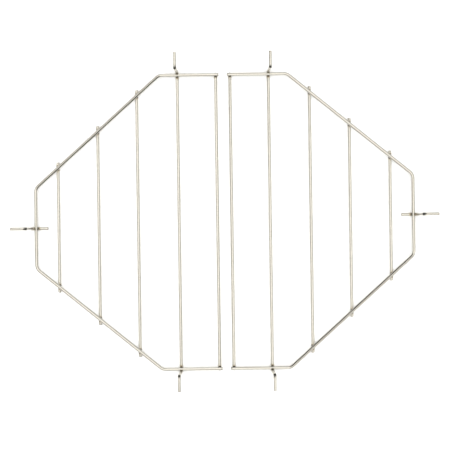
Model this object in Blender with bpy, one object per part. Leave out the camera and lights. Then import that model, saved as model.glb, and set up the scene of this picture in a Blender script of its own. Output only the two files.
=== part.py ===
"""Pair of half-oval wire racks that hang inside a kamado grill's firebox, under the cooking grate.

Each rack is a bent frame wire with four straight cross wires, one hanger rod and one side hanger
welded under it. The hanger rod and the side hanger bend up past the frame and end in tips that lie
on the firebox rim; a ceramic heat deflector or a drip pan lies on the cross wires.

Axes: +X from the left rack to the right rack, +Y along the cross wires, +Z up.
Origin: midway between the racks, on the surface that the cross wires lie on.
Both racks are the same part. The left one is the right one turned half a turn about +Z.
A rack isn't quite even about its centre line: the frame's outer side run lies a little to +Y of it
on the right rack, so one slanting run is steeper than the other.
"""

import math

import bmesh
import bpy
from mathutils import Matrix, Vector

MM = 0.001

# Driving dimensions.
WIRE_DIAMETER = 4.5 * MM
WIRE_GAP = 0.3 * MM          # kept between wires that touch at a weld
BAR_Y = 201.7 * MM           # frame's two straight bars, from the rack's centre line
BAR_CORNER_X = 88.0 * MM     # where a bar turns into a slanting run
SIDE_X = 259.0 * MM          # frame's outer side run
SIDE_MIDDLE_Y = 6.0 * MM     # of the side run and the side hanger, from the centre line
SIDE_HALF_LENGTH = 55.0 * MM
FRAME_END_X = 5.8 * MM       # free ends of the frame wire
FRAME_BEND_RADIUS = 12.0 * MM
END_ROD_X = 9.8 * MM
HANGER_ROD_X = 62.7 * MM
CROSS_ROD_X = (118.8 * MM, 173.1 * MM, 228.3 * MM)
CROSS_ROD_OVERHANG = 8.0 * MM     # past the frame's centre line, along the rod
END_ROD_OVERHANG = 1.7 * MM
HANGER_RISE = 45.0 * MM           # from a cross wire's centre line up to a tip's
HANGER_TIP_REACH = 26.5 * MM      # bar's centre line to the tip's end
HANGER_LEAN = 1.6 * MM            # how far the rise leans away from the end rod
SIDE_TIP_REACH = 29.2 * MM        # side run's centre line to the tip's end
SIDE_LEG_OFFSET = 8.0 * MM        # side run's centre line to the side hanger's leg
SIDE_STUB_LENGTH = 16.0 * MM      # side hanger's straight end, inside the side run
CUT_END_CHAMFER = 0.5 * MM
WELD_HALF_WIDTH = 2.9 * MM        # weld collar, across the crossing
WELD_HALF_HEIGHT = 1.7 * MM
RIGHT_RACK_TURN = 0.0
LEFT_RACK_TURN = math.pi

# Worked out from them.
WIRE_RADIUS = WIRE_DIAMETER / 2
LAYER_STEP = WIRE_DIAMETER + WIRE_GAP
ROD_Z = WIRE_RADIUS
FRAME_Z = ROD_Z + LAYER_STEP
TIP_Z = ROD_Z + HANGER_RISE
WELD_Z = (ROD_Z + FRAME_Z) / 2
HANGER_BEND_RADIUS = LAYER_STEP   # the hanger rod bends round the bar that it passes under
HANGER_LEG_Y = BAR_Y + HANGER_BEND_RADIUS

# Fineness of the round shapes. The wires' flats face up and down.
WIRE_SIDES = 12
BEND_STEP = math.radians(12)
WELD_SEGMENTS = 16
WELD_RINGS = 8

STEEL_RGBA = (0.72, 0.70, 0.65, 1.0)
STEEL_ROUGHNESS = 0.28
WELD_RGBA = (0.58, 0.56, 0.52, 1.0)
WELD_ROUGHNESS = 0.45

FRONT, BACK = -1, 1
END_NAMES = {FRONT: "front", BACK: "back"}


def clear_scene():
    for obj in list(bpy.data.objects):
        bpy.data.objects.remove(obj)


def metal(name, rgba, roughness):
    material = bpy.data.materials.new(name)
    material.use_nodes = True
    surface = material.node_tree.nodes["Principled BSDF"]
    surface.inputs["Base Color"].default_value = rgba
    surface.inputs["Metallic"].default_value = 1.0
    surface.inputs["Roughness"].default_value = roughness
    return material


def add_object(name, mesh, parent=None):
    obj = bpy.data.objects.new(name, mesh)
    bpy.context.scene.collection.objects.link(obj)
    obj.parent = parent
    return obj


def shade(mesh, material):
    mesh.shade_smooth()
    mesh.set_sharp_from_angle(angle=math.radians(40))
    mesh.materials.append(material)


def section(bm, centre, direction, radius):
    """Draws the wire's section, a polygon round `centre` that faces along `direction`."""
    side = direction.cross(Vector((0, 0, 1))).normalized()
    up = side.cross(direction)
    axes = Matrix((side, up, -direction)).transposed().to_4x4()
    half_side = Matrix.Rotation(math.pi / WIRE_SIDES, 4, "Z")
    bmesh.ops.create_circle(
        bm,
        segments=WIRE_SIDES,
        radius=radius / math.cos(math.pi / WIRE_SIDES),
        matrix=Matrix.Translation(centre) @ axes @ half_side,
    )
    return list(bm.edges)


def feed(bm, edges, along):
    """Extrudes the wire's open end by the vector `along`."""
    made = bmesh.ops.extrude_edge_only(bm, edges=edges)["geom"]
    verts = [item for item in made if isinstance(item, bmesh.types.BMVert)]
    bmesh.ops.translate(bm, verts=verts, vec=along)
    return [item for item in made if isinstance(item, bmesh.types.BMEdge)]


def bend(bm, edges, centre, axis, angle):
    """Turns the wire's open end about an axis, as a wire former does round its pin."""
    made = bmesh.ops.spin(
        bm,
        geom=edges,
        cent=centre,
        axis=axis,
        angle=angle,
        steps=math.ceil(angle / BEND_STEP),
    )["geom_last"]
    return [item for item in made if isinstance(item, bmesh.types.BMEdge)]


class Wire:
    """A round wire that runs through `corners`, with each corner rounded to `bend_radius`."""

    def __init__(self, corners, bend_radius=0.0):
        self.corners = [Vector(corner) for corner in corners]
        self.bend_radius = bend_radius

    def mesh(self, name, swelling=0.0, chamfer=CUT_END_CHAMFER):
        """Makes the wire, thicker all round by `swelling`, as one closed mesh."""
        corners = self.corners
        directions = [(b - a).normalized() for a, b in zip(corners, corners[1:])]
        bm = bmesh.new()
        start = edges = section(bm, corners[0], directions[0], WIRE_RADIUS + swelling)
        place = corners[0]
        for corner, before, after in zip(corners[1:-1], directions, directions[1:]):
            angle = before.angle(after)
            straight = self.bend_radius * math.tan(angle / 2)
            inwards = (after - before * before.dot(after)).normalized()
            tangent = corner - before * straight
            axis = before.cross(after).normalized()
            edges = feed(bm, edges, tangent - place)
            edges = bend(bm, edges, tangent + inwards * self.bend_radius, axis, angle)
            place = corner + after * straight
        edges = feed(bm, edges, corners[-1] - place)
        for rim in (start, edges):
            bmesh.ops.contextual_create(bm, geom=rim)
        bmesh.ops.recalc_face_normals(bm, faces=bm.faces)
        if chamfer:
            bmesh.ops.bevel(
                bm,
                geom=list({*start, *edges}),
                offset=chamfer,
                segments=1,
                profile=0.5,
                affect="EDGES",
                material=-1,
            )
        mesh = bpy.data.meshes.new(name)
        bm.to_mesh(mesh)
        bm.free()
        return mesh


def corner_y(end):
    """Place of the side run's front or back corner."""
    return SIDE_MIDDLE_Y + end * SIDE_HALF_LENGTH


def slant_y(x, end):
    """Place of the frame's front or back slanting run, at `x`."""
    share = (SIDE_X - x) / (SIDE_X - BAR_CORNER_X)
    return corner_y(end) + (end * BAR_Y - corner_y(end)) * share


def frame_wire():
    corners = [
        (FRAME_END_X, FRONT * BAR_Y, FRAME_Z),
        (BAR_CORNER_X, FRONT * BAR_Y, FRAME_Z),
        (SIDE_X, corner_y(FRONT), FRAME_Z),
        (SIDE_X, corner_y(BACK), FRAME_Z),
        (BAR_CORNER_X, BACK * BAR_Y, FRAME_Z),
        (FRAME_END_X, BACK * BAR_Y, FRAME_Z),
    ]
    return Wire(corners, FRAME_BEND_RADIUS)


def straight_rod(x, front_y, back_y, overhang):
    """A wire under the frame that reaches past its centre line by `overhang` at both ends."""
    return Wire([(x, front_y - overhang, ROD_Z), (x, back_y + overhang, ROD_Z)])


def hanger_rod():
    """One wire across the rack that bends up behind each bar and ends in a level tip."""
    tip_x = HANGER_ROD_X + HANGER_LEAN
    back = [
        (HANGER_ROD_X, HANGER_LEG_Y, ROD_Z),
        (tip_x, HANGER_LEG_Y, TIP_Z),
        (tip_x, BAR_Y + HANGER_TIP_REACH, TIP_Z),
    ]
    front = [(x, -y, z) for x, y, z in reversed(back)]
    return Wire(front + back, HANGER_BEND_RADIUS)


def side_hanger():
    """Short wire under the side run that bends up beside it and ends in a level tip."""
    leg_x = SIDE_X + SIDE_LEG_OFFSET
    corners = [
        (SIDE_X - SIDE_STUB_LENGTH, SIDE_MIDDLE_Y, ROD_Z),
        (leg_x, SIDE_MIDDLE_Y, ROD_Z),
        (leg_x, SIDE_MIDDLE_Y, TIP_Z),
        (SIDE_X + SIDE_TIP_REACH, SIDE_MIDDLE_Y, TIP_Z),
    ]
    return Wire(corners, HANGER_BEND_RADIUS)


def rack_wires():
    """The wires of one rack, and the places where each crosses under the frame wire."""
    wires = {
        "frame": frame_wire(),
        "end_rod": straight_rod(END_ROD_X, FRONT * BAR_Y, BACK * BAR_Y, END_ROD_OVERHANG),
        "hanger_rod": hanger_rod(),
        "side_hanger": side_hanger(),
    }
    crossings = {("side_hanger", ""): (SIDE_X, SIDE_MIDDLE_Y)}
    for end, end_name in END_NAMES.items():
        crossings["end_rod", end_name] = (END_ROD_X, end * BAR_Y)
        crossings["hanger_rod", end_name] = (HANGER_ROD_X, end * BAR_Y)
    for number, x in enumerate(CROSS_ROD_X, start=1):
        rod = f"cross_rod_{number}"
        wires[rod] = straight_rod(x, slant_y(x, FRONT), slant_y(x, BACK), CROSS_ROD_OVERHANG)
        for end, end_name in END_NAMES.items():
            crossings[rod, end_name] = (x, slant_y(x, end))
    return wires, crossings


def weld_mesh(name, place, crossed):
    """Collar of weld metal that fills the narrow space round two wires' crossing at `place`."""
    bm = bmesh.new()
    bmesh.ops.create_uvsphere(bm, u_segments=WELD_SEGMENTS, v_segments=WELD_RINGS, radius=1)
    bmesh.ops.scale(bm, verts=bm.verts, vec=(WELD_HALF_WIDTH, WELD_HALF_WIDTH, WELD_HALF_HEIGHT))
    lump = bpy.data.meshes.new(name)
    bm.to_mesh(lump)
    bm.free()
    collar = add_object(name, lump)
    collar.location = place
    cutters = []
    for wire in crossed:
        cutters.append(add_object("cutter", wire.mesh("cutter", swelling=WIRE_GAP, chamfer=0.0)))
        cut = collar.modifiers.new("wire", "BOOLEAN")
        cut.operation = "DIFFERENCE"
        cut.solver = "EXACT"
        cut.object = cutters[-1]
    graph = bpy.context.evaluated_depsgraph_get()
    mesh = bpy.data.meshes.new_from_object(collar.evaluated_get(graph))
    for obj in (collar, *cutters):
        bpy.data.objects.remove(obj)
    return mesh


def rack_welds(wires, crossings):
    """Name, place and mesh of each weld between the frame wire and a wire under it."""
    welds = []
    for (rod, end_name), (x, y) in crossings.items():
        name = "_".join(filter(None, ("weld", rod, end_name)))
        place = Vector((x, y, WELD_Z))
        welds.append((name, place, weld_mesh(name, place, (wires["frame"], wires[rod]))))
    return welds


def build_rack(name, turn, wire_meshes, welds):
    """Puts one rack together under an empty that is turned to the rack's side."""
    rack = add_object(f"{name}_rack", None)
    rack.rotation_euler.z = turn
    for piece, mesh in wire_meshes.items():
        add_object(f"{name}_{piece}", mesh, rack)
    for piece, place, mesh in welds:
        add_object(f"{name}_{piece}", mesh, rack).location = place


def main():
    clear_scene()
    wires, crossings = rack_wires()
    steel = metal("bright_drawn_steel", STEEL_RGBA, STEEL_ROUGHNESS)
    wire_meshes = {name: wire.mesh(name) for name, wire in wires.items()}
    for mesh in wire_meshes.values():
        shade(mesh, steel)

    weld_metal = metal("weld_metal", WELD_RGBA, WELD_ROUGHNESS)
    welds = rack_welds(wires, crossings)
    for _, _, mesh in welds:
        shade(mesh, weld_metal)

    build_rack("right", RIGHT_RACK_TURN, wire_meshes, welds)
    build_rack("left", LEFT_RACK_TURN, wire_meshes, welds)


main()
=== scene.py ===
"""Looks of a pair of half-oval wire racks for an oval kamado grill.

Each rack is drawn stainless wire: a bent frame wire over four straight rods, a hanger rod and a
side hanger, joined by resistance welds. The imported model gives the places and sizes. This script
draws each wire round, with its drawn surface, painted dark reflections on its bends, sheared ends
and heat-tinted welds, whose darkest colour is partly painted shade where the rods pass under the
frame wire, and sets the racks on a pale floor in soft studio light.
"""

from __future__ import annotations

import logging
import math
from collections.abc import Iterable, Iterator
from dataclasses import dataclass, field
from enum import Enum
from typing import NamedTuple

import bmesh
import bpy
from mathutils import Matrix, Vector, noise

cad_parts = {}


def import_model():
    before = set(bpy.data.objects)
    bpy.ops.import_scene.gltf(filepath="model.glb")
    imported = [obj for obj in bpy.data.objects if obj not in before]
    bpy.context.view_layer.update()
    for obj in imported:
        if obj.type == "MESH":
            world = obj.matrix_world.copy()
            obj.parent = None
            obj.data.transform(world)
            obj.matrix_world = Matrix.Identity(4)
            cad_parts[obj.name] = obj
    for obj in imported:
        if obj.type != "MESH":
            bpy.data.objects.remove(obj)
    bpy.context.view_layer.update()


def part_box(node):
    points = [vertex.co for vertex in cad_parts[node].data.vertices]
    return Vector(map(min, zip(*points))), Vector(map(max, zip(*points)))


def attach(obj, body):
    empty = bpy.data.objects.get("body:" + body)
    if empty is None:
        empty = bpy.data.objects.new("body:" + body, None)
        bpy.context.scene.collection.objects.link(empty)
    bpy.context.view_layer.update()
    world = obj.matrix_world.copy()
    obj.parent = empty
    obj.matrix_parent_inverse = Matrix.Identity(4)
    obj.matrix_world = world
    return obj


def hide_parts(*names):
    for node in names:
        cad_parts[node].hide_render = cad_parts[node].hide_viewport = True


LOG = logging.getLogger("racks")
MM = 0.001
UP = Vector((0.0, 0.0, 1.0))

# Names of the attributes that the finishes read from a wire's mesh.
# How far welding heated each point, which also places the painted shade beside the crossings.
HEAT = "weld_heat"
# The painted dark reflection on the outside of tight bends.
BEND_REFLECTION = "stretch"
CUT = "cut"

# How suddenly the heat of a weld falls off at its reach.
HEAT_FOCUS = 4

# A Mix node has a factor, an A, a B and a Result for each type of value. These are the ones that
# mix colours.
MIX_FACTOR = 0
MIX_A = 6
MIX_B = 7
MIX_RESULT = 2


class Side(Enum):
    """The two racks, each with the turn about +Z that puts it in its place."""

    RIGHT = 0.0
    LEFT = math.pi

    @property
    def word(self) -> str:
        """The side's word in the names of nodes and pieces."""
        return self.name.lower()

    @property
    def body(self) -> str:
        """Name of the body that the rack's pieces ride on."""
        return f"{self.word}_rack"


class End(Enum):
    """The two ends of a wire that crosses the rack, by the sign of their Y."""

    FRONT = -1
    BACK = 1


class Slot(Enum):
    """The record's material slots."""

    STEEL = "bright_drawn_steel"
    WELD = "weld_metal"


def linear(hex_colour: str) -> tuple[float, float, float, float]:
    """Turns an sRGB hex colour to linear light.

    Args:
        hex_colour: six hex digits after a hash.

    Returns:
        Linear red, green and blue, and an alpha of 1.
    """
    channels = [int(hex_colour[i : i + 2], 16) / 255 for i in (1, 3, 5)]
    red, green, blue = (
        c / 12.92 if c <= 0.04045 else ((c + 0.055) / 1.055) ** 2.4 for c in channels
    )
    return red, green, blue, 1.0


def add_node(
    tree: bpy.types.NodeTree,
    kind: str,
    inputs: dict[str | int, object] | None = None,
    stops: Iterable[tuple[float, str]] = (),
    **settings: object,
) -> bpy.types.Node:
    """Adds one node to a node tree.

    Args:
        tree: the tree that takes the node.
        kind: the node's type, such as ShaderNodeBump.
        inputs: for each input, by name or number, its constant or the output that feeds it.
        stops: position and sRGB hex colour of each stop of a colour ramp, in rising order.
        settings: attributes of the node itself, such as a blend type.

    Returns:
        The new node.
    """
    node = tree.nodes.new(kind)
    for name, value in settings.items():
        setattr(node, name, value)
    for name, value in (inputs or {}).items():
        if isinstance(value, bpy.types.NodeSocket):
            tree.links.new(value, node.inputs[name])
        else:
            node.inputs[name].default_value = value
    for number, (position, colour) in enumerate(stops):
        # A new ramp has two stops already.
        elements = node.color_ramp.elements
        element = elements[number] if number < 2 else elements.new(position)
        element.position = position
        element.color = linear(colour)
    return node


def new_finish(name: str) -> tuple[bpy.types.Material, bpy.types.Node]:
    """Starts a node material.

    Args:
        name: the material's name.

    Returns:
        The material and its shader.
    """
    material = bpy.data.materials.new(name)
    material.use_nodes = True
    return material, material.node_tree.nodes["Principled BSDF"]


def finished_mesh(bm: bmesh.types.BMesh, name: str) -> bpy.types.Mesh:
    """Writes a bmesh out as a new mesh, and frees it.

    Args:
        bm: the finished shape.
        name: the mesh's name.

    Returns:
        The new mesh.
    """
    mesh = bpy.data.meshes.new(name)
    bm.to_mesh(mesh)
    bm.free()
    return mesh


def add_object(name: str, data: bpy.types.ID) -> bpy.types.Object:
    """Adds an object to the scene.

    Args:
        name: the object's name.
        data: its mesh, light or camera.

    Returns:
        The new object, at the origin.
    """
    added = bpy.data.objects.new(name, data)
    bpy.context.scene.collection.objects.link(added)
    return added


@dataclass(frozen=True)
class DrawnSteel:
    """Austenitic stainless wire, drawn through a die and electropolished.

    The die leaves fine lines along the wire, which shade its colour a little and pull highlights
    out lengthwise. Beside a weld the steel has run through its heat colours, from straw to a dark
    oxide, and the darkest of them is partly painted shade where the rods pass under the frame
    wire.
    The skin on the outside of a tight bend is strained dull and carries a painted dark reflection,
    and a sheared end is duller and rougher than the skin.
    """

    name: str = "bright_drawn_stainless_wire"
    light: str = "#D1CDC4"
    shade: str = "#BCB8AE"
    sheared: str = "#A9A69E"
    # Colour of the painted dark reflection on the outside of tight bends.
    stretched: str = "#171614"
    # Of the shiniest and of the dullest lines.
    roughness: tuple[float, float] = (0.08, 0.20)
    # What handling, heat, stretching and shearing add to the roughness where they are full.
    handled_roughness: float = 0.05
    heated_roughness: float = 0.25
    stretched_roughness: float = 0.2
    sheared_roughness: float = 0.3
    # Real draw lines are a few hundredths of a millimetre apart, finer than a render can show, so
    # they are drawn coarser.
    line_spacing: float = 0.45 * MM
    line_length: float = 60.0 * MM
    smudge_size: float = 35.0 * MM
    line_depth: float = 0.002 * MM
    # Share of the heat's colour that is left where the smudges hold it back most.
    least_heat: float = 0.8
    # How far the steel was heated, and the colour that its skin is multiplied by there: heat
    # colours, whose darkest stops are partly painted shade where the rods pass under the frame
    # wire.
    temper_and_shade: tuple[tuple[float, str], ...] = (
        (0.0, "#FFFFFF"),
        (0.16, "#F0E8D8"),
        (0.30, "#A0947F"),
        (0.46, "#68656A"),
        (0.66, "#33302E"),
    )

    def material(self) -> bpy.types.Material:
        """Builds the finish.

        Returns:
            A node material.
        """
        material, surface = new_finish(self.name)
        tree = material.node_tree
        surface.inputs["Metallic"].default_value = 1.0

        place = add_node(tree, "ShaderNodeTexCoord")
        lines_at = add_node(
            tree,
            "ShaderNodeMapping",
            {
                "Vector": place.outputs["UV"],
                "Scale": (1 / self.line_spacing, 1 / self.line_length, 1.0),
            },
        )
        lines = add_node(
            tree,
            "ShaderNodeTexNoise",
            {"Vector": lines_at.outputs["Vector"], "Scale": 1.0, "Detail": 3.0, "Roughness": 0.6},
        )
        smudges = add_node(
            tree,
            "ShaderNodeTexNoise",
            {"Vector": place.outputs["Object"], "Scale": 1 / self.smudge_size, "Detail": 4.0},
        )
        heat = add_node(tree, "ShaderNodeAttribute", attribute_name=HEAT)
        stretch = add_node(tree, "ShaderNodeAttribute", attribute_name=BEND_REFLECTION)
        cut = add_node(tree, "ShaderNodeAttribute", attribute_name=CUT)

        skin = add_node(
            tree,
            "ShaderNodeValToRGB",
            {"Fac": lines.outputs["Fac"]},
            stops=((0.3, self.shade), (0.62, self.light)),
        )
        uneven = add_node(
            tree,
            "ShaderNodeMapRange",
            {
                "Value": smudges.outputs["Fac"],
                "From Min": 0.3,
                "From Max": 0.7,
                "To Min": self.least_heat,
            },
        )
        uneven_heat = add_node(
            tree,
            "ShaderNodeMath",
            {0: heat.outputs["Fac"], 1: uneven.outputs["Result"]},
            operation="MULTIPLY",
        )
        # Heat colours near the welds, whose darkest are partly painted shade where the rods pass
        # under the frame wire.
        tint_and_shade = add_node(
            tree, "ShaderNodeValToRGB", {"Fac": uneven_heat.outputs["Value"]}, self.temper_and_shade
        )
        tempered_and_shaded = add_node(
            tree,
            "ShaderNodeMix",
            {MIX_FACTOR: 1.0, MIX_A: skin.outputs["Color"], MIX_B: tint_and_shade.outputs["Color"]},
            data_type="RGBA",
            blend_type="MULTIPLY",
        )
        # Paints the dark reflection onto the outside of tight bends.
        bent = add_node(
            tree,
            "ShaderNodeMix",
            {
                MIX_FACTOR: stretch.outputs["Fac"],
                MIX_A: tempered_and_shaded.outputs[MIX_RESULT],
                MIX_B: linear(self.stretched),
            },
            data_type="RGBA",
        )
        ended = add_node(
            tree,
            "ShaderNodeMix",
            {
                MIX_FACTOR: cut.outputs["Fac"],
                MIX_A: bent.outputs[MIX_RESULT],
                MIX_B: linear(self.sheared),
            },
            data_type="RGBA",
        )
        tree.links.new(ended.outputs[MIX_RESULT], surface.inputs["Base Color"])

        drawn_gloss = add_node(
            tree,
            "ShaderNodeMapRange",
            {
                "Value": lines.outputs["Fac"],
                "From Min": 0.25,
                "From Max": 0.75,
                "To Min": self.roughness[0],
                "To Max": self.roughness[1],
            },
        )
        handled = add_node(
            tree,
            "ShaderNodeMapRange",
            {
                "Value": smudges.outputs["Fac"],
                "From Min": 0.45,
                "From Max": 0.75,
                "To Max": self.handled_roughness,
            },
        )
        rough = add_node(
            tree,
            "ShaderNodeMath",
            {0: drawn_gloss.outputs["Result"], 1: handled.outputs["Result"]},
            operation="ADD",
        )
        dullers = (
            (uneven_heat.outputs["Value"], self.heated_roughness),
            (stretch.outputs["Fac"], self.stretched_roughness),
            (cut.outputs["Fac"], self.sheared_roughness),
        )
        for duller, amount in dullers:
            rough = add_node(
                tree,
                "ShaderNodeMath",
                {0: duller, 1: amount, 2: rough.outputs["Value"]},
                operation="MULTIPLY_ADD",
                use_clamp=True,
            )
        tree.links.new(rough.outputs["Value"], surface.inputs["Roughness"])

        relief = add_node(
            tree,
            "ShaderNodeBump",
            {"Height": lines.outputs["Fac"], "Strength": 1.0, "Distance": self.line_depth},
        )
        tree.links.new(relief.outputs["Normal"], surface.inputs["Normal"])
        return material


@dataclass(frozen=True)
class ResistanceWeld:
    """Stainless steel upset between two wires by a resistance welder.

    It is squeezed out hot and freezes lumpy, with a matt grey skin that turns dark brown where
    the oxide is thickest.
    """

    name: str = "resistance_welded_stainless"
    scale: str = "#2E2B28"
    bare: str = "#7F7A70"
    lump_size: float = 1.6 * MM
    lump_depth: float = 0.12 * MM
    # On the lumps and between them.
    roughness: tuple[float, float] = (0.38, 0.62)

    def material(self) -> bpy.types.Material:
        """Builds the finish.

        Returns:
            A node material.
        """
        material, surface = new_finish(self.name)
        tree = material.node_tree
        surface.inputs["Metallic"].default_value = 1.0
        place = add_node(tree, "ShaderNodeTexCoord")
        lumps = add_node(
            tree,
            "ShaderNodeTexNoise",
            {
                "Vector": place.outputs["Object"],
                "Scale": 1 / self.lump_size,
                "Detail": 5.0,
                "Roughness": 0.6,
            },
        )
        oxide = add_node(
            tree,
            "ShaderNodeValToRGB",
            {"Fac": lumps.outputs["Fac"]},
            stops=((0.38, self.scale), (0.66, self.bare)),
        )
        tree.links.new(oxide.outputs["Color"], surface.inputs["Base Color"])
        gloss = add_node(
            tree,
            "ShaderNodeMapRange",
            {
                "Value": lumps.outputs["Fac"],
                "From Min": 0.3,
                "From Max": 0.7,
                "To Min": self.roughness[1],
                "To Max": self.roughness[0],
            },
        )
        tree.links.new(gloss.outputs["Result"], surface.inputs["Roughness"])
        relief = add_node(
            tree,
            "ShaderNodeBump",
            {"Height": lumps.outputs["Fac"], "Strength": 1.0, "Distance": self.lump_depth},
        )
        tree.links.new(relief.outputs["Normal"], surface.inputs["Normal"])
        return material


@dataclass(frozen=True)
class PaperSweep:
    """Matt white background paper, with the faint mottle that paper pulp has."""

    name: str = "matt_background_paper"
    light: str = "#F7F7F6"
    shade: str = "#F3F3F2"
    mottle_size: float = 25.0 * MM
    roughness: float = 0.95
    specular: float = 0.1

    def material(self) -> bpy.types.Material:
        """Builds the finish.

        Returns:
            A node material.
        """
        material, surface = new_finish(self.name)
        tree = material.node_tree
        surface.inputs["Roughness"].default_value = self.roughness
        surface.inputs["Specular IOR Level"].default_value = self.specular
        place = add_node(tree, "ShaderNodeTexCoord")
        mottle = add_node(
            tree,
            "ShaderNodeTexNoise",
            {"Vector": place.outputs["Object"], "Scale": 1 / self.mottle_size, "Detail": 3.0},
        )
        pulp = add_node(
            tree,
            "ShaderNodeValToRGB",
            {"Fac": mottle.outputs["Fac"]},
            stops=((0.3, self.shade), (0.7, self.light)),
        )
        tree.links.new(pulp.outputs["Color"], surface.inputs["Base Color"])
        return material


class Step(NamedTuple):
    """One step in forming a wire: how it carries the wire's end on, and by what length."""

    move: Matrix
    length: float
    # For a step round a bend: a point on the bend's axis, the axis and how far into the bend the
    # step ends, from 0 to 1.
    centre: Vector | None = None
    axis: Vector | None = None
    share: float = 0.0


@dataclass
class Wire:
    """A round wire along a path of straight runs, with each corner bent to one radius.

    `corners` are the ends and corners of the path that the wire's centre line follows.
    """

    corners: list[Vector]
    radius: float
    bend_radius: float = 0.0
    sides: int = 28
    run_step: float = 3.0 * MM
    bend_step: float = math.radians(7.5)
    end_round: float = 0.45 * MM
    end_segments: int = 3
    # The painted dark reflection on a bend begins where the skin is drawn out by more than the
    # first share, and is full at the second.
    dark_stretch: tuple[float, float] = (0.12, 0.36)
    # How closely the painted dark reflection gathers at the middle of a bend.
    dark_focus: int = 4
    heat_reach: float = 3.25 * MM

    def steps(self) -> Iterator[Step]:
        """Divides the path into the steps that form the wire.

        Returns:
            The steps, from the wire's first corner to its last.
        """
        place = self.corners[0]
        runs = [(b - a).normalized() for a, b in zip(self.corners, self.corners[1:])]
        for corner, before, after in zip(self.corners[1:-1], runs, runs[1:]):
            angle = before.angle(after)
            straight = self.bend_radius * math.tan(angle / 2)
            tangent = corner - before * straight
            yield from self.run(tangent - place)
            inwards = (after - before * before.dot(after)).normalized()
            centre = tangent + inwards * self.bend_radius
            axis = before.cross(after).normalized()
            count = math.ceil(angle / self.bend_step)
            turn = Matrix.Rotation(angle / count, 4, axis)
            about = Matrix.Translation(centre) @ turn @ Matrix.Translation(-centre)
            length = self.bend_radius * angle / count
            for number in range(1, count + 1):
                yield Step(about, length, centre, axis, number / count)
            place = corner + after * straight
        yield from self.run(self.corners[-1] - place)

    def run(self, vector: Vector) -> Iterator[Step]:
        """Divides one straight run into equal steps.

        Args:
            vector: from the run's start to its end.

        Returns:
            The run's steps.
        """
        count = max(1, round(vector.length / self.run_step))
        step = vector / count
        yield from (Step(Matrix.Translation(step), step.length) for _ in range(count))

    def mesh(self, name: str, hot_spots: Iterable[Vector]) -> bpy.types.Mesh:
        """Builds the wire.

        Args:
            name: name of the mesh.
            hot_spots: points that were heated in welding.

        Returns:
            A closed mesh with a UV map in metres, U round the wire and V along it, the point
            attribute `weld_heat`, a point attribute that holds the painted dark reflection on
            bends, and the face attribute `cut`.
        """
        bm = bmesh.new()
        around = bm.verts.layers.float.new("around")
        along = bm.verts.layers.float.new("along")
        heat = bm.verts.layers.float.new(HEAT)
        stretch = bm.verts.layers.float.new(BEND_REFLECTION)
        cut = bm.faces.layers.float.new(CUT)
        rim = self.section(bm)
        for number, vert in enumerate(bm.verts):
            vert[around] = number / self.sides
        travelled = 0.0
        start = rim
        # Each step extrudes the open end and carries it on.
        for step in self.steps():
            made = bmesh.ops.extrude_edge_only(bm, edges=rim)["geom"]
            rim = [item for item in made if isinstance(item, bmesh.types.BMEdge)]
            verts = [item for item in made if isinstance(item, bmesh.types.BMVert)]
            bmesh.ops.transform(bm, matrix=step.move, verts=verts)
            travelled += step.length
            for vert in verts:
                vert[along] = travelled
                # Each point's share of the painted dark reflection on bends.
                vert[stretch] = self.bend_reflection_share(vert.co, step)
        for edges in (start, rim):
            for face in bmesh.ops.contextual_create(bm, geom=edges)["faces"]:
                face[cut] = 1.0
        bmesh.ops.recalc_face_normals(bm, faces=bm.faces)
        bmesh.ops.bevel(
            bm,
            geom=list({*start, *rim}),
            offset=self.end_round,
            segments=self.end_segments,
            profile=0.5,
            affect="EDGES",
            material=-1,
        )
        spots = list(hot_spots)
        for vert in bm.verts:
            vert[heat] = sum(weld_heat(vert.co, spot, self.heat_reach) for spot in spots)
        self.unwrap(bm)
        mesh = finished_mesh(bm, name)
        mesh.shade_smooth()
        return mesh

    def section(self, bm: bmesh.types.BMesh) -> list[bmesh.types.BMEdge]:
        """Starts the wire with the round section at its first corner.

        Args:
            bm: the empty bmesh that takes the section.

        Returns:
            The section's edges.
        """
        direction = (self.corners[1] - self.corners[0]).normalized()
        side = direction.cross(UP).normalized()
        facing = Matrix((side, side.cross(direction), -direction)).transposed().to_4x4()
        bmesh.ops.create_circle(
            bm,
            segments=self.sides,
            radius=self.radius,
            matrix=Matrix.Translation(self.corners[0]) @ facing,
        )
        return list(bm.edges)

    def bend_reflection_share(self, point: Vector, step: Step) -> float:
        """Finds how much painted dark reflection a point on a bend gets, from how far its skin is
        drawn out.

        Args:
            point: a point of the skin, where the step ends.
            step: the step that carried it there.

        Returns:
            0 for none, 1 for the darkest painted reflection.
        """
        if step.axis is None:
            return 0.0
        arm = point - step.centre
        arm -= step.axis * arm.dot(step.axis)
        stretched = arm.length / self.bend_radius - 1.0
        low, high = self.dark_stretch
        share = min(max((stretched - low) / (high - low), 0.0), 1.0)
        return share * math.sin(math.pi * step.share) ** self.dark_focus

    def unwrap(self, bm: bmesh.types.BMesh) -> None:
        """Gives each face its UVs, in metres. The faces on the seam along the wire stay whole.

        Args:
            bm: the wire, with its `around` and `along` layers filled.
        """
        around = bm.verts.layers.float["around"]
        along = bm.verts.layers.float["along"]
        uv = bm.loops.layers.uv.new("UVMap")
        girth = 2 * math.pi * self.radius
        for face in bm.faces:
            shares = [loop.vert[around] for loop in face.loops]
            over_seam = max(shares) - min(shares) > 0.5
            for loop, share in zip(face.loops, shares):
                turn = 1.0 if over_seam and share < 0.5 else 0.0
                loop[uv].uv = ((share + turn) * girth, loop.vert[along])


def weld_heat(point: Vector, spot: Vector, reach: float) -> float:
    """Returns how far `point` was heated by a weld at `spot`, 1 to 0, falling off at `reach`."""
    return math.exp(-(((point - spot).length / reach) ** HEAT_FOCUS))


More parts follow.
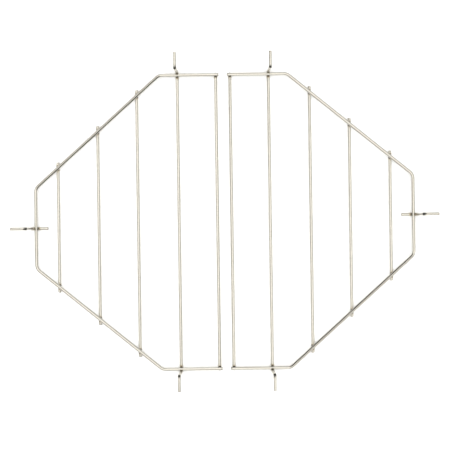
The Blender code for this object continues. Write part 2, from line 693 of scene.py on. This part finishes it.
@dataclass
class WeldBead:
    """Metal squeezed out round the crossing of two wires.

    `lower` and `upper` are the unit directions of the two wires, and `seed` shifts the lumps, so
    that no two beads are alike.
    """

    place: Vector
    lower: Vector
    upper: Vector
    half_width: float = 2.35 * MM
    half_height: float = 1.3 * MM
    lump: float = 0.3 * MM
    lump_frequency: float = 2.3
    # Shares of the half height that a lump adds, and of the half width that a bead is drawn out
    # along a wire.
    height_lump: float = 0.5
    drawn_out: float = 0.22
    seed: float = 0.0

    def mesh(self, name: str) -> bpy.types.Mesh:
        """Builds the bead: a lumpy lens that both wires lie into, drawn out along each of them.

        Args:
            name: name of the mesh.

        Returns:
            A closed mesh, in place.
        """
        bm = bmesh.new()
        bmesh.ops.create_icosphere(bm, subdivisions=4, radius=1.0)
        for vert in bm.verts:
            flat = Vector((vert.co.x, vert.co.y, 0.0))
            drawn = max(abs(flat.dot(self.lower)), abs(flat.dot(self.upper)))
            wave = noise.noise(vert.co * self.lump_frequency + Vector((self.seed, 0.0, 0.0)))
            swell = 1.0 + self.drawn_out * drawn**3 + wave * self.lump / self.half_width
            vert.co.x *= self.half_width * swell
            vert.co.y *= self.half_width * swell
            vert.co.z *= self.half_height * (1.0 + self.height_lump * wave)
        bmesh.ops.translate(bm, verts=bm.verts, vec=self.place)
        mesh = finished_mesh(bm, name)
        mesh.shade_smooth()
        return mesh


@dataclass
class Rack:
    """One rack: its wires and welds, drawn for the right side and turned to its own.

    `boxes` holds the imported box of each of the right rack's wires, and `pieces` the finished
    pieces of this rack.
    """

    side: Side
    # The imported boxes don't show where the frame wire turns, how tightly, or where the side
    # hanger rises.
    bar_corner_x: float = 88.0 * MM
    side_half_length: float = 55.0 * MM
    side_leg_offset: float = 8.0 * MM
    frame_bend_radius: float = 12.0 * MM
    # The welder's upper electrode draws the heat out of the frame wire.
    frame_heat_reach: float = 2.6 * MM
    # Left between the frame wire and the wires under it.
    wire_gap: float = 0.3 * MM
    # These give each weld a seed of its own.
    seed_per_metre: float = 400.0
    seed_per_end: float = 7.0
    cross_rods: tuple[str, ...] = ("cross_rod_1", "cross_rod_2", "cross_rod_3")
    boxes: dict[str, tuple[Vector, Vector]] = field(default_factory=dict)
    pieces: list[bpy.types.Object] = field(default_factory=list)

    def __post_init__(self) -> None:
        """Reads the right rack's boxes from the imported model."""
        for part in ("frame", "end_rod", "hanger_rod", "side_hanger", *self.cross_rods):
            self.boxes[part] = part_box(f"{Side.RIGHT.word}_{part}")

    @property
    def wire_radius(self) -> float:
        """Radius of the wire: half of a straight rod's height."""
        low, high = self.boxes["end_rod"]
        return (high.z - low.z) / 2

    @property
    def layer_step(self) -> float:
        """Height of the frame wire's centre line above a rod's."""
        return 2 * self.wire_radius + self.wire_gap

    @property
    def frame_z(self) -> float:
        """Height of the frame wire's centre line."""
        low, high = self.boxes["frame"]
        return (low.z + high.z) / 2

    @property
    def bar_y(self) -> float:
        """Distance of a bar's centre line from the middle of the rack."""
        return self.boxes["frame"][1].y - self.wire_radius

    @property
    def side_x(self) -> float:
        """Place along X of the frame wire's outer side."""
        return self.boxes["frame"][1].x - self.wire_radius

    @property
    def side_middle_y(self) -> float:
        """Place along Y of the middle of the outer side, where the side hanger is."""
        low, high = self.boxes["side_hanger"]
        return (low.y + high.y) / 2

    def corner_y(self, end: End) -> float:
        """Returns the place along Y of the outer side's corner at one end."""
        return self.side_middle_y + end.value * self.side_half_length

    def slant_y(self, x: float, end: End) -> float:
        """Finds where one of the frame wire's slanting runs lies.

        Args:
            x: a place along X.
            end: the end of the rack that the run is at.

        Returns:
            The run's place along Y there.
        """
        share = (self.side_x - x) / (self.side_x - self.bar_corner_x)
        corner = self.corner_y(end)
        return corner + (end.value * self.bar_y - corner) * share

    def rod_x(self, part: str) -> float:
        """Returns the place along X of a rod."""
        return self.boxes[part][0].x + self.wire_radius

    def frame_wire(self) -> Wire:
        """Forms the bent wire that runs round the rack, over all the others.

        Returns:
            The wire.
        """
        end_x = self.boxes["frame"][0].x
        front, back = (
            [
                Vector((end_x, end.value * self.bar_y, self.frame_z)),
                Vector((self.bar_corner_x, end.value * self.bar_y, self.frame_z)),
                Vector((self.side_x, self.corner_y(end), self.frame_z)),
            ]
            for end in End
        )
        return Wire(
            front + back[::-1],
            self.wire_radius,
            self.frame_bend_radius,
            heat_reach=self.frame_heat_reach,
        )

    def straight_rod(self, part: str) -> Wire:
        """Forms a straight wire across the rack.

        Args:
            part: the wire's part.

        Returns:
            The wire.
        """
        low, high = self.boxes[part]
        x, z = (low.x + high.x) / 2, (low.z + high.z) / 2
        return Wire([Vector((x, low.y, z)), Vector((x, high.y, z))], self.wire_radius)

    def hanger_rod(self) -> Wire:
        """Forms the wire across the rack whose ends bend up outside the bars and then outwards.

        Returns:
            The wire.
        """
        low, high = self.boxes["hanger_rod"]
        leg_y = self.bar_y + self.layer_step
        tip_x = high.x - self.wire_radius
        tip_z = high.z - self.wire_radius
        front, back = (
            [
                Vector((tip_x, end.value * high.y, tip_z)),
                Vector((tip_x, end.value * leg_y, tip_z)),
                Vector((self.rod_x("hanger_rod"), end.value * leg_y, low.z + self.wire_radius)),
            ]
            for end in End
        )
        return Wire(front + back[::-1], self.wire_radius, self.layer_step)

    def side_hanger(self) -> Wire:
        """Forms the short wire under the outer side, which bends up beside it and then outwards.

        Returns:
            The wire.
        """
        low, high = self.boxes["side_hanger"]
        leg_x = self.side_x + self.side_leg_offset
        y = self.side_middle_y
        rod_z, tip_z = low.z + self.wire_radius, high.z - self.wire_radius
        corners = [
            Vector((low.x, y, rod_z)),
            Vector((leg_x, y, rod_z)),
            Vector((leg_x, y, tip_z)),
            Vector((high.x, y, tip_z)),
        ]
        return Wire(corners, self.wire_radius, self.layer_step)

    def wires(self) -> dict[str, Wire]:
        """Forms every wire of the rack.

        Returns:
            The wires, by part.
        """
        rods = {part: self.straight_rod(part) for part in ("end_rod", *self.cross_rods)}
        return {
            "frame": self.frame_wire(),
            "hanger_rod": self.hanger_rod(),
            "side_hanger": self.side_hanger(),
            **rods,
        }

    def beads(self) -> dict[str, tuple[str, WeldBead]]:
        """Lays out every weld of the rack.

        Returns:
            For each weld, by part: the part that it joins to the frame wire, and its bead.
        """
        z = (self.boxes["end_rod"][1].z + self.boxes["frame"][0].z) / 2
        x_way, y_way = Vector((1.0, 0.0, 0.0)), Vector((0.0, 1.0, 0.0))
        place = Vector((self.side_x, self.side_middle_y, z))
        beads = {"weld_side_hanger": ("side_hanger", WeldBead(place, x_way, y_way))}
        for part in ("end_rod", "hanger_rod", *self.cross_rods):
            x = self.rod_x(part)
            for end in End:
                bar_y = end.value * self.bar_y
                slant = Vector(
                    (self.side_x - self.bar_corner_x, self.corner_y(end) - bar_y, 0.0)
                ).normalized()
                on_slant = part in self.cross_rods
                beads[f"weld_{part}_{end.name.lower()}"] = (
                    part,
                    WeldBead(
                        Vector((x, self.slant_y(x, end) if on_slant else bar_y, z)),
                        y_way,
                        slant if on_slant else x_way,
                        seed=x * self.seed_per_metre + end.value * self.seed_per_end,
                    ),
                )
        return beads

    def build(
        self, bright: bpy.types.Material, satin: bpy.types.Material, weld: bpy.types.Material
    ) -> None:
        """Makes the rack's pieces, dresses them and sets each on the rack's body.

        Args:
            bright: finish of the frame wire and the side hanger.
            satin: finish of the wires that run across the rack.
            weld: finish of the beads.
        """
        beads = self.beads()
        for part, wire in self.wires().items():
            spots = [
                bead.place for joined, bead in beads.values() if part in (joined, "frame")
            ]
            steel = bright if part in ("frame", "side_hanger") else satin
            self.add(part, wire.mesh(part, spots), steel, Slot.STEEL)
        for part, (_, bead) in beads.items():
            self.add(part, bead.mesh(part), weld, Slot.WELD)

    def add(
        self, part: str, mesh: bpy.types.Mesh, finish: bpy.types.Material, slot: Slot
    ) -> None:
        """Turns a mesh to the rack's side and adds it as the piece that stands for its node.

        Args:
            part: the part's name, without the side.
            mesh: the mesh, drawn for the right side.
            finish: its material.
            slot: the record's slot for that material. It is not used.
        """
        node = f"{self.side.word}_{part}"
        mesh.transform(Matrix.Rotation(self.side.value, 4, UP))
        mesh.materials.append(finish)
        piece = add_object(f"{node}_piece", mesh)
        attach(piece, self.side.body)
        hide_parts(node)
        self.pieces.append(piece)
        LOG.info("%s: %d faces", piece.name, len(mesh.polygons))


@dataclass
class Studio:
    """White paper under a wide soft light, in a pale room, with the camera straight above."""

    floor_radius: float = 12.0
    floor_sides: int = 96
    floor_drop: float = 0.02 * MM
    camera_height: float = 1.8
    # The racks lie a little off the middle of the view and are turned a little in it.
    camera_place: tuple[float, float] = (0.0002, -0.0048)
    camera_roll: float = math.radians(-0.85)
    view_width: float = 620.0 * MM
    sensor: float = 36.0
    # Height above the horizon, as a sine, and the room's tone there.
    room: tuple[tuple[float, str], ...] = (
        (0.0, "#767878"),
        (0.25, "#868888"),
        (0.55, "#989998"),
        (0.76, "#B8B8B5"),
        (0.90, "#FFFEFB"),
        (1.0, "#FFFEFB"),
    )
    room_strength: float = 1.8
    backdrop: str = "#F4F4F3"
    # The heading of the middle of one flag. The other stands opposite.
    flag_way: tuple[float, float, float] = (-0.669, 0.743, 0.0)
    # Where a flag begins and where it is full: across, as the cosine of the angle from its
    # middle, and below its top, as the sine of the height above the horizon.
    flag_sides: tuple[float, float] = (0.84, 0.94)
    flag_top: tuple[float, float] = (1.0, 0.94)
    overhead_angle: float = math.radians(85.0)
    overhead_strength: float = 2.75
    kicker_angle: float = math.radians(70.0)
    kicker_height: float = math.radians(35.0)
    kicker_strength: float = 0.8
    paper: PaperSweep = field(default_factory=PaperSweep)

    def build(self, racks: Iterable[Rack]) -> None:
        """Adds the floor, the lights, the surroundings and the camera.

        Args:
            racks: the racks, each of which gets a light of its own.
        """
        self.add_floor()
        self.add_overhead_light()
        for rack in racks:
            self.add_kicker(rack)
        self.add_surroundings()
        self.add_camera()
        # Colours reach the picture as they are, with no film curve.
        bpy.context.scene.view_settings.view_transform = "Standard"

    def add_floor(self) -> None:
        """Adds the paper, just under the racks."""
        bm = bmesh.new()
        bmesh.ops.create_circle(
            bm, cap_ends=True, segments=self.floor_sides, radius=self.floor_radius
        )
        bmesh.ops.translate(bm, verts=bm.verts, vec=(0.0, 0.0, -self.floor_drop))
        mesh = finished_mesh(bm, "floor")
        mesh.materials.append(self.paper.material())
        add_object("floor", mesh)

    def add_overhead_light(self) -> None:
        """Adds the soft light from above that whitens the paper. The steel doesn't mirror it."""
        light = bpy.data.lights.new("overhead_light", "SUN")
        light.angle = self.overhead_angle
        light.energy = self.overhead_strength
        add_object("overhead_light", light).visible_glossy = False

    def add_kicker(self, rack: Rack) -> None:
        """Adds a wide light low on a rack's outer side, which lights nothing but that rack.

        Args:
            rack: the rack to light.
        """
        light = bpy.data.lights.new(f"{rack.side.word}_kicker", "SUN")
        light.angle = self.kicker_angle
        light.energy = self.kicker_strength
        kicker = bpy.data.objects.new(f"{rack.side.word}_kicker", light)
        outwards = Matrix.Rotation(rack.side.value, 4, UP) @ -Vector(self.flag_way)
        way = outwards * math.cos(self.kicker_height) + UP * math.sin(self.kicker_height)
        kicker.rotation_euler = way.to_track_quat("Z", "Y").to_euler()
        lit = bpy.data.collections.new(f"{rack.side.word}_rack_lit")
        for piece in rack.pieces:
            lit.objects.link(piece)
        kicker.light_linking.receiver_collection = lit
        bpy.context.scene.collection.objects.link(kicker)

    def add_surroundings(self) -> None:
        """Surrounds the racks with a grey room under a white ceiling.

        Two black flags, opposite each other, darken the slanting wires that face them. Behind
        the racks, the room is plain and pale.
        """
        world = bpy.data.worlds.new("studio_room")
        world.use_nodes = True
        bpy.context.scene.world = world
        tree = world.node_tree
        place = add_node(tree, "ShaderNodeTexCoord")
        parts = add_node(tree, "ShaderNodeSeparateXYZ", {0: place.outputs["Generated"]})
        walls = add_node(tree, "ShaderNodeValToRGB", {"Fac": parts.outputs["Z"]}, self.room)
        level = add_node(
            tree,
            "ShaderNodeVectorMath",
            {0: place.outputs["Generated"], 1: (1.0, 1.0, 0.0)},
            operation="MULTIPLY",
        )
        heading = add_node(
            tree, "ShaderNodeVectorMath", {0: level.outputs[0]}, operation="NORMALIZE"
        )
        facing = add_node(
            tree,
            "ShaderNodeVectorMath",
            {0: heading.outputs[0], 1: self.flag_way},
            operation="DOT_PRODUCT",
        )
        either = add_node(
            tree, "ShaderNodeMath", {0: facing.outputs["Value"]}, operation="ABSOLUTE"
        )
        across = add_node(
            tree,
            "ShaderNodeMapRange",
            {
                "Value": either.outputs[0],
                "From Min": self.flag_sides[0],
                "From Max": self.flag_sides[1],
            },
            interpolation_type="SMOOTHSTEP",
        )
        under = add_node(
            tree,
            "ShaderNodeMapRange",
            {
                "Value": parts.outputs["Z"],
                "From Min": self.flag_top[0],
                "From Max": self.flag_top[1],
            },
            interpolation_type="SMOOTHSTEP",
        )
        flags = add_node(
            tree,
            "ShaderNodeMath",
            {0: across.outputs[0], 1: under.outputs[0]},
            operation="MULTIPLY",
        )
        shade = add_node(
            tree,
            "ShaderNodeMapRange",
            {"Value": flags.outputs[0], "To Min": 1.0, "To Max": 0.0},
        )
        room = add_node(
            tree,
            "ShaderNodeVectorMath",
            {0: walls.outputs["Color"], 1: shade.outputs[0]},
            operation="MULTIPLY",
        )
        ray = add_node(tree, "ShaderNodeLightPath")
        seen = add_node(
            tree,
            "ShaderNodeMix",
            {
                MIX_FACTOR: ray.outputs["Is Camera Ray"],
                MIX_A: room.outputs[0],
                MIX_B: linear(self.backdrop),
            },
            data_type="RGBA",
        )
        sky = tree.nodes["Background"]
        tree.links.new(seen.outputs[MIX_RESULT], sky.inputs["Color"])
        sky.inputs["Strength"].default_value = self.room_strength

    def add_camera(self) -> None:
        """Adds the camera, level above the racks."""
        camera = bpy.data.cameras.new("camera")
        camera.sensor_width = self.sensor
        camera.lens = self.sensor * self.camera_height / self.view_width
        view = add_object("camera", camera)
        view.location = (*self.camera_place, self.camera_height)
        view.rotation_euler = (0.0, 0.0, self.camera_roll)
        bpy.context.scene.camera = view


def main() -> None:
    """Builds both racks and the studio."""
    logging.basicConfig(level=logging.INFO, format="%(name)s: %(message)s")
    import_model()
    bright = DrawnSteel().material()
    # The wires across the racks come from a coil that was drawn through a more worn die, so they
    # are paler and blur what they mirror.
    satin = DrawnSteel(
        "satin_drawn_stainless_wire", light="#D8D4CB", shade="#C4C0B6", roughness=(0.20, 0.32)
    ).material()
    weld = ResistanceWeld().material()
    racks = [Rack(side) for side in Side]
    for rack in racks:
        rack.build(bright, satin, weld)
    Studio().build(racks)


if __name__ == "__main__":
    main()
